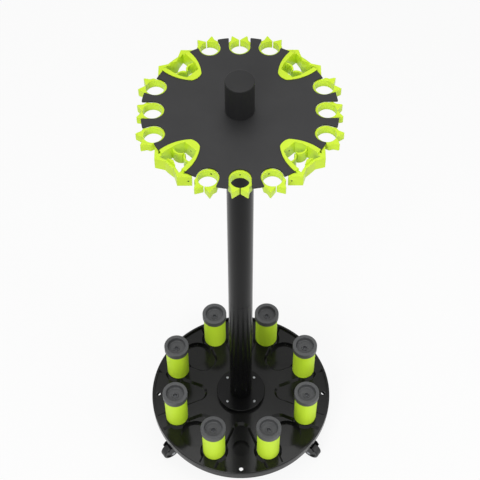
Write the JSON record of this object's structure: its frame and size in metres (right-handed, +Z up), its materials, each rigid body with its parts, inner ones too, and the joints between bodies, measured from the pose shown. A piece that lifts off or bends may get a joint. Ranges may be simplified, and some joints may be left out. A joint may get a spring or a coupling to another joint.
{
  "type": "fishing rod rack",
  "caption": "Round standing rack for fishing rods: moulded base on swivel casters, sectional column, cups for the rods' butts and a steel top plate edged with snap clips.",
  "frame": {"origin": "centre of the rack on the floor that its casters stand on", "axes": "+Z up along the column, -Y towards the front of the picture, +X to its right"},
  "size_m": [0.4, 0.4, 1.12],
  "materials": {
    "base_plastic": "glossy",
    "black_metal": "glossy",
    "plate_metal": "satin",
    "cap_black": "satin",
    "lime_plastic": "satin",
    "lime_foam": "matt",
    "grey_plastic": "satin",
    "wheel_plastic": "glossy",
    "bright_steel": "satin",
    "dark_steel": "satin"
  },
  "bodies": {
    "rack": {"base_tray": "base_plastic", "base_ring": "base_plastic", "base_screws": "bright_steel", "foot_flange": "black_metal", "flange_screws": "bright_steel", "column_lower": "black_metal", "column_middle": "black_metal", "column_upper": "black_metal", "tube_joiners": "bright_steel", "tie_rod": "bright_steel", "tie_nut": "bright_steel", "top_plate": "plate_metal", "column_cap": "cap_black", "rod_clip_1": "lime_plastic", "rod_clip_2": "lime_plastic", "rod_clip_3": "lime_plastic", "rod_clip_4": "lime_plastic", "rod_clip_5": "lime_plastic", "rod_clip_6": "lime_plastic", "rod_clip_7": "lime_plastic", "rod_clip_8": "lime_plastic", "rod_clip_9": "lime_plastic", "rod_clip_10": "lime_plastic", "rod_clip_11": "lime_plastic", "rod_clip_12": "lime_plastic", "corner_clip_1": "lime_plastic", "corner_clip_2": "lime_plastic", "corner_clip_3": "lime_plastic", "corner_clip_4": "lime_plastic", "clip_screws": "dark_steel", "cup_sleeve_1": "lime_foam", "cup_sleeve_2": "lime_foam", "cup_sleeve_3": "lime_foam", "cup_sleeve_4": "lime_foam", "cup_sleeve_5": "lime_foam", "cup_sleeve_6": "lime_foam", "cup_sleeve_7": "lime_foam", "cup_sleeve_8": "lime_foam", "cup_cap_1": "grey_plastic", "cup_cap_2": "grey_plastic", "cup_cap_3": "grey_plastic", "cup_cap_4": "grey_plastic", "cup_cap_5": "grey_plastic", "cup_cap_6": "grey_plastic", "cup_cap_7": "grey_plastic", "cup_cap_8": "grey_plastic", "cup_bolts": "dark_steel", "caster_mounts": "bright_steel"},
    "caster_1": {"caster_fork_1": "black_metal", "caster_axle_1": "bright_steel"},
    "wheel_1": {"caster_wheel_1": "wheel_plastic"},
    "caster_2": {"caster_fork_2": "black_metal", "caster_axle_2": "bright_steel"},
    "wheel_2": {"caster_wheel_2": "wheel_plastic"},
    "caster_3": {"caster_fork_3": "black_metal", "caster_axle_3": "bright_steel"},
    "wheel_3": {"caster_wheel_3": "wheel_plastic"},
    "caster_4": {"caster_fork_4": "black_metal", "caster_axle_4": "bright_steel"},
    "wheel_4": {"caster_wheel_4": "wheel_plastic"}
  },
  "joints": [
    {"name": "caster_swivel_1", "type": "hinge", "parent": "rack", "child": "caster_1", "pos_m": [0.14335, -0.10038, 0.0457], "axis": [0, 0, 1], "continuous": true},
    {"name": "wheel_roll_1", "type": "hinge", "parent": "caster_1", "child": "wheel_1", "pos_m": [0.1581, -0.1107, 0.021], "axis": [0.5736, 0.8192, 0], "continuous": true},
    {"name": "caster_swivel_2", "type": "hinge", "parent": "rack", "child": "caster_2", "pos_m": [0.14335, 0.10038, 0.0457], "axis": [0, 0, 1], "continuous": true},
    {"name": "wheel_roll_2", "type": "hinge", "parent": "caster_2", "child": "wheel_2", "pos_m": [0.1581, 0.1107, 0.021], "axis": [-0.5736, 0.8192, 0], "continuous": true},
    {"name": "caster_swivel_3", "type": "hinge", "parent": "rack", "child": "caster_3", "pos_m": [-0.14335, 0.10038, 0.0457], "axis": [0, 0, 1], "continuous": true},
    {"name": "wheel_roll_3", "type": "hinge", "parent": "caster_3", "child": "wheel_3", "pos_m": [-0.1581, 0.1107, 0.021], "axis": [-0.5736, -0.8192, 0], "continuous": true},
    {"name": "caster_swivel_4", "type": "hinge", "parent": "rack", "child": "caster_4", "pos_m": [-0.14335, -0.10038, 0.0457], "axis": [0, 0, 1], "continuous": true},
    {"name": "wheel_roll_4", "type": "hinge", "parent": "caster_4", "child": "wheel_4", "pos_m": [-0.1581, -0.1107, 0.021], "axis": [0.5736, -0.8192, 0], "continuous": true}
  ]
}
